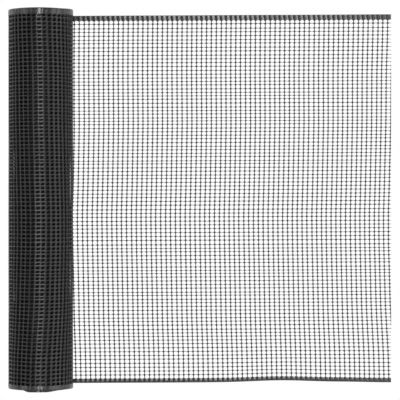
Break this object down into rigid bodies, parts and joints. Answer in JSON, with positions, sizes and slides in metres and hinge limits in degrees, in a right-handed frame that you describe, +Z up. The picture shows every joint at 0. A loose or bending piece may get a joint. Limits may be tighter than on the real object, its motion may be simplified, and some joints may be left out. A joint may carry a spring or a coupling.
{
  "type": "roll of plastic mesh fencing",
  "caption": "Roll of black plastic mesh fencing with thick ribbed selvedges, lying on its side with its free end drawn out flat beside it.",
  "frame": {"origin": "middle of the whole thing's footprint, on the surface that it lies on", "axes": "+Z up; +X along the net, from the roll to the cut end; Y across the net, along the roll's axis"},
  "size_m": [1.027, 1.0058, 0.1672],
  "materials": {
    "net_plastic": "black extruded polyethylene, semi-gloss on its rounded strands, glossier between the ribs of its selvedges"
  },
  "bodies": {
    "root": {"wound_roll": "net_plastic", "loose_length": "net_plastic"}
  },
  "joints": []
}
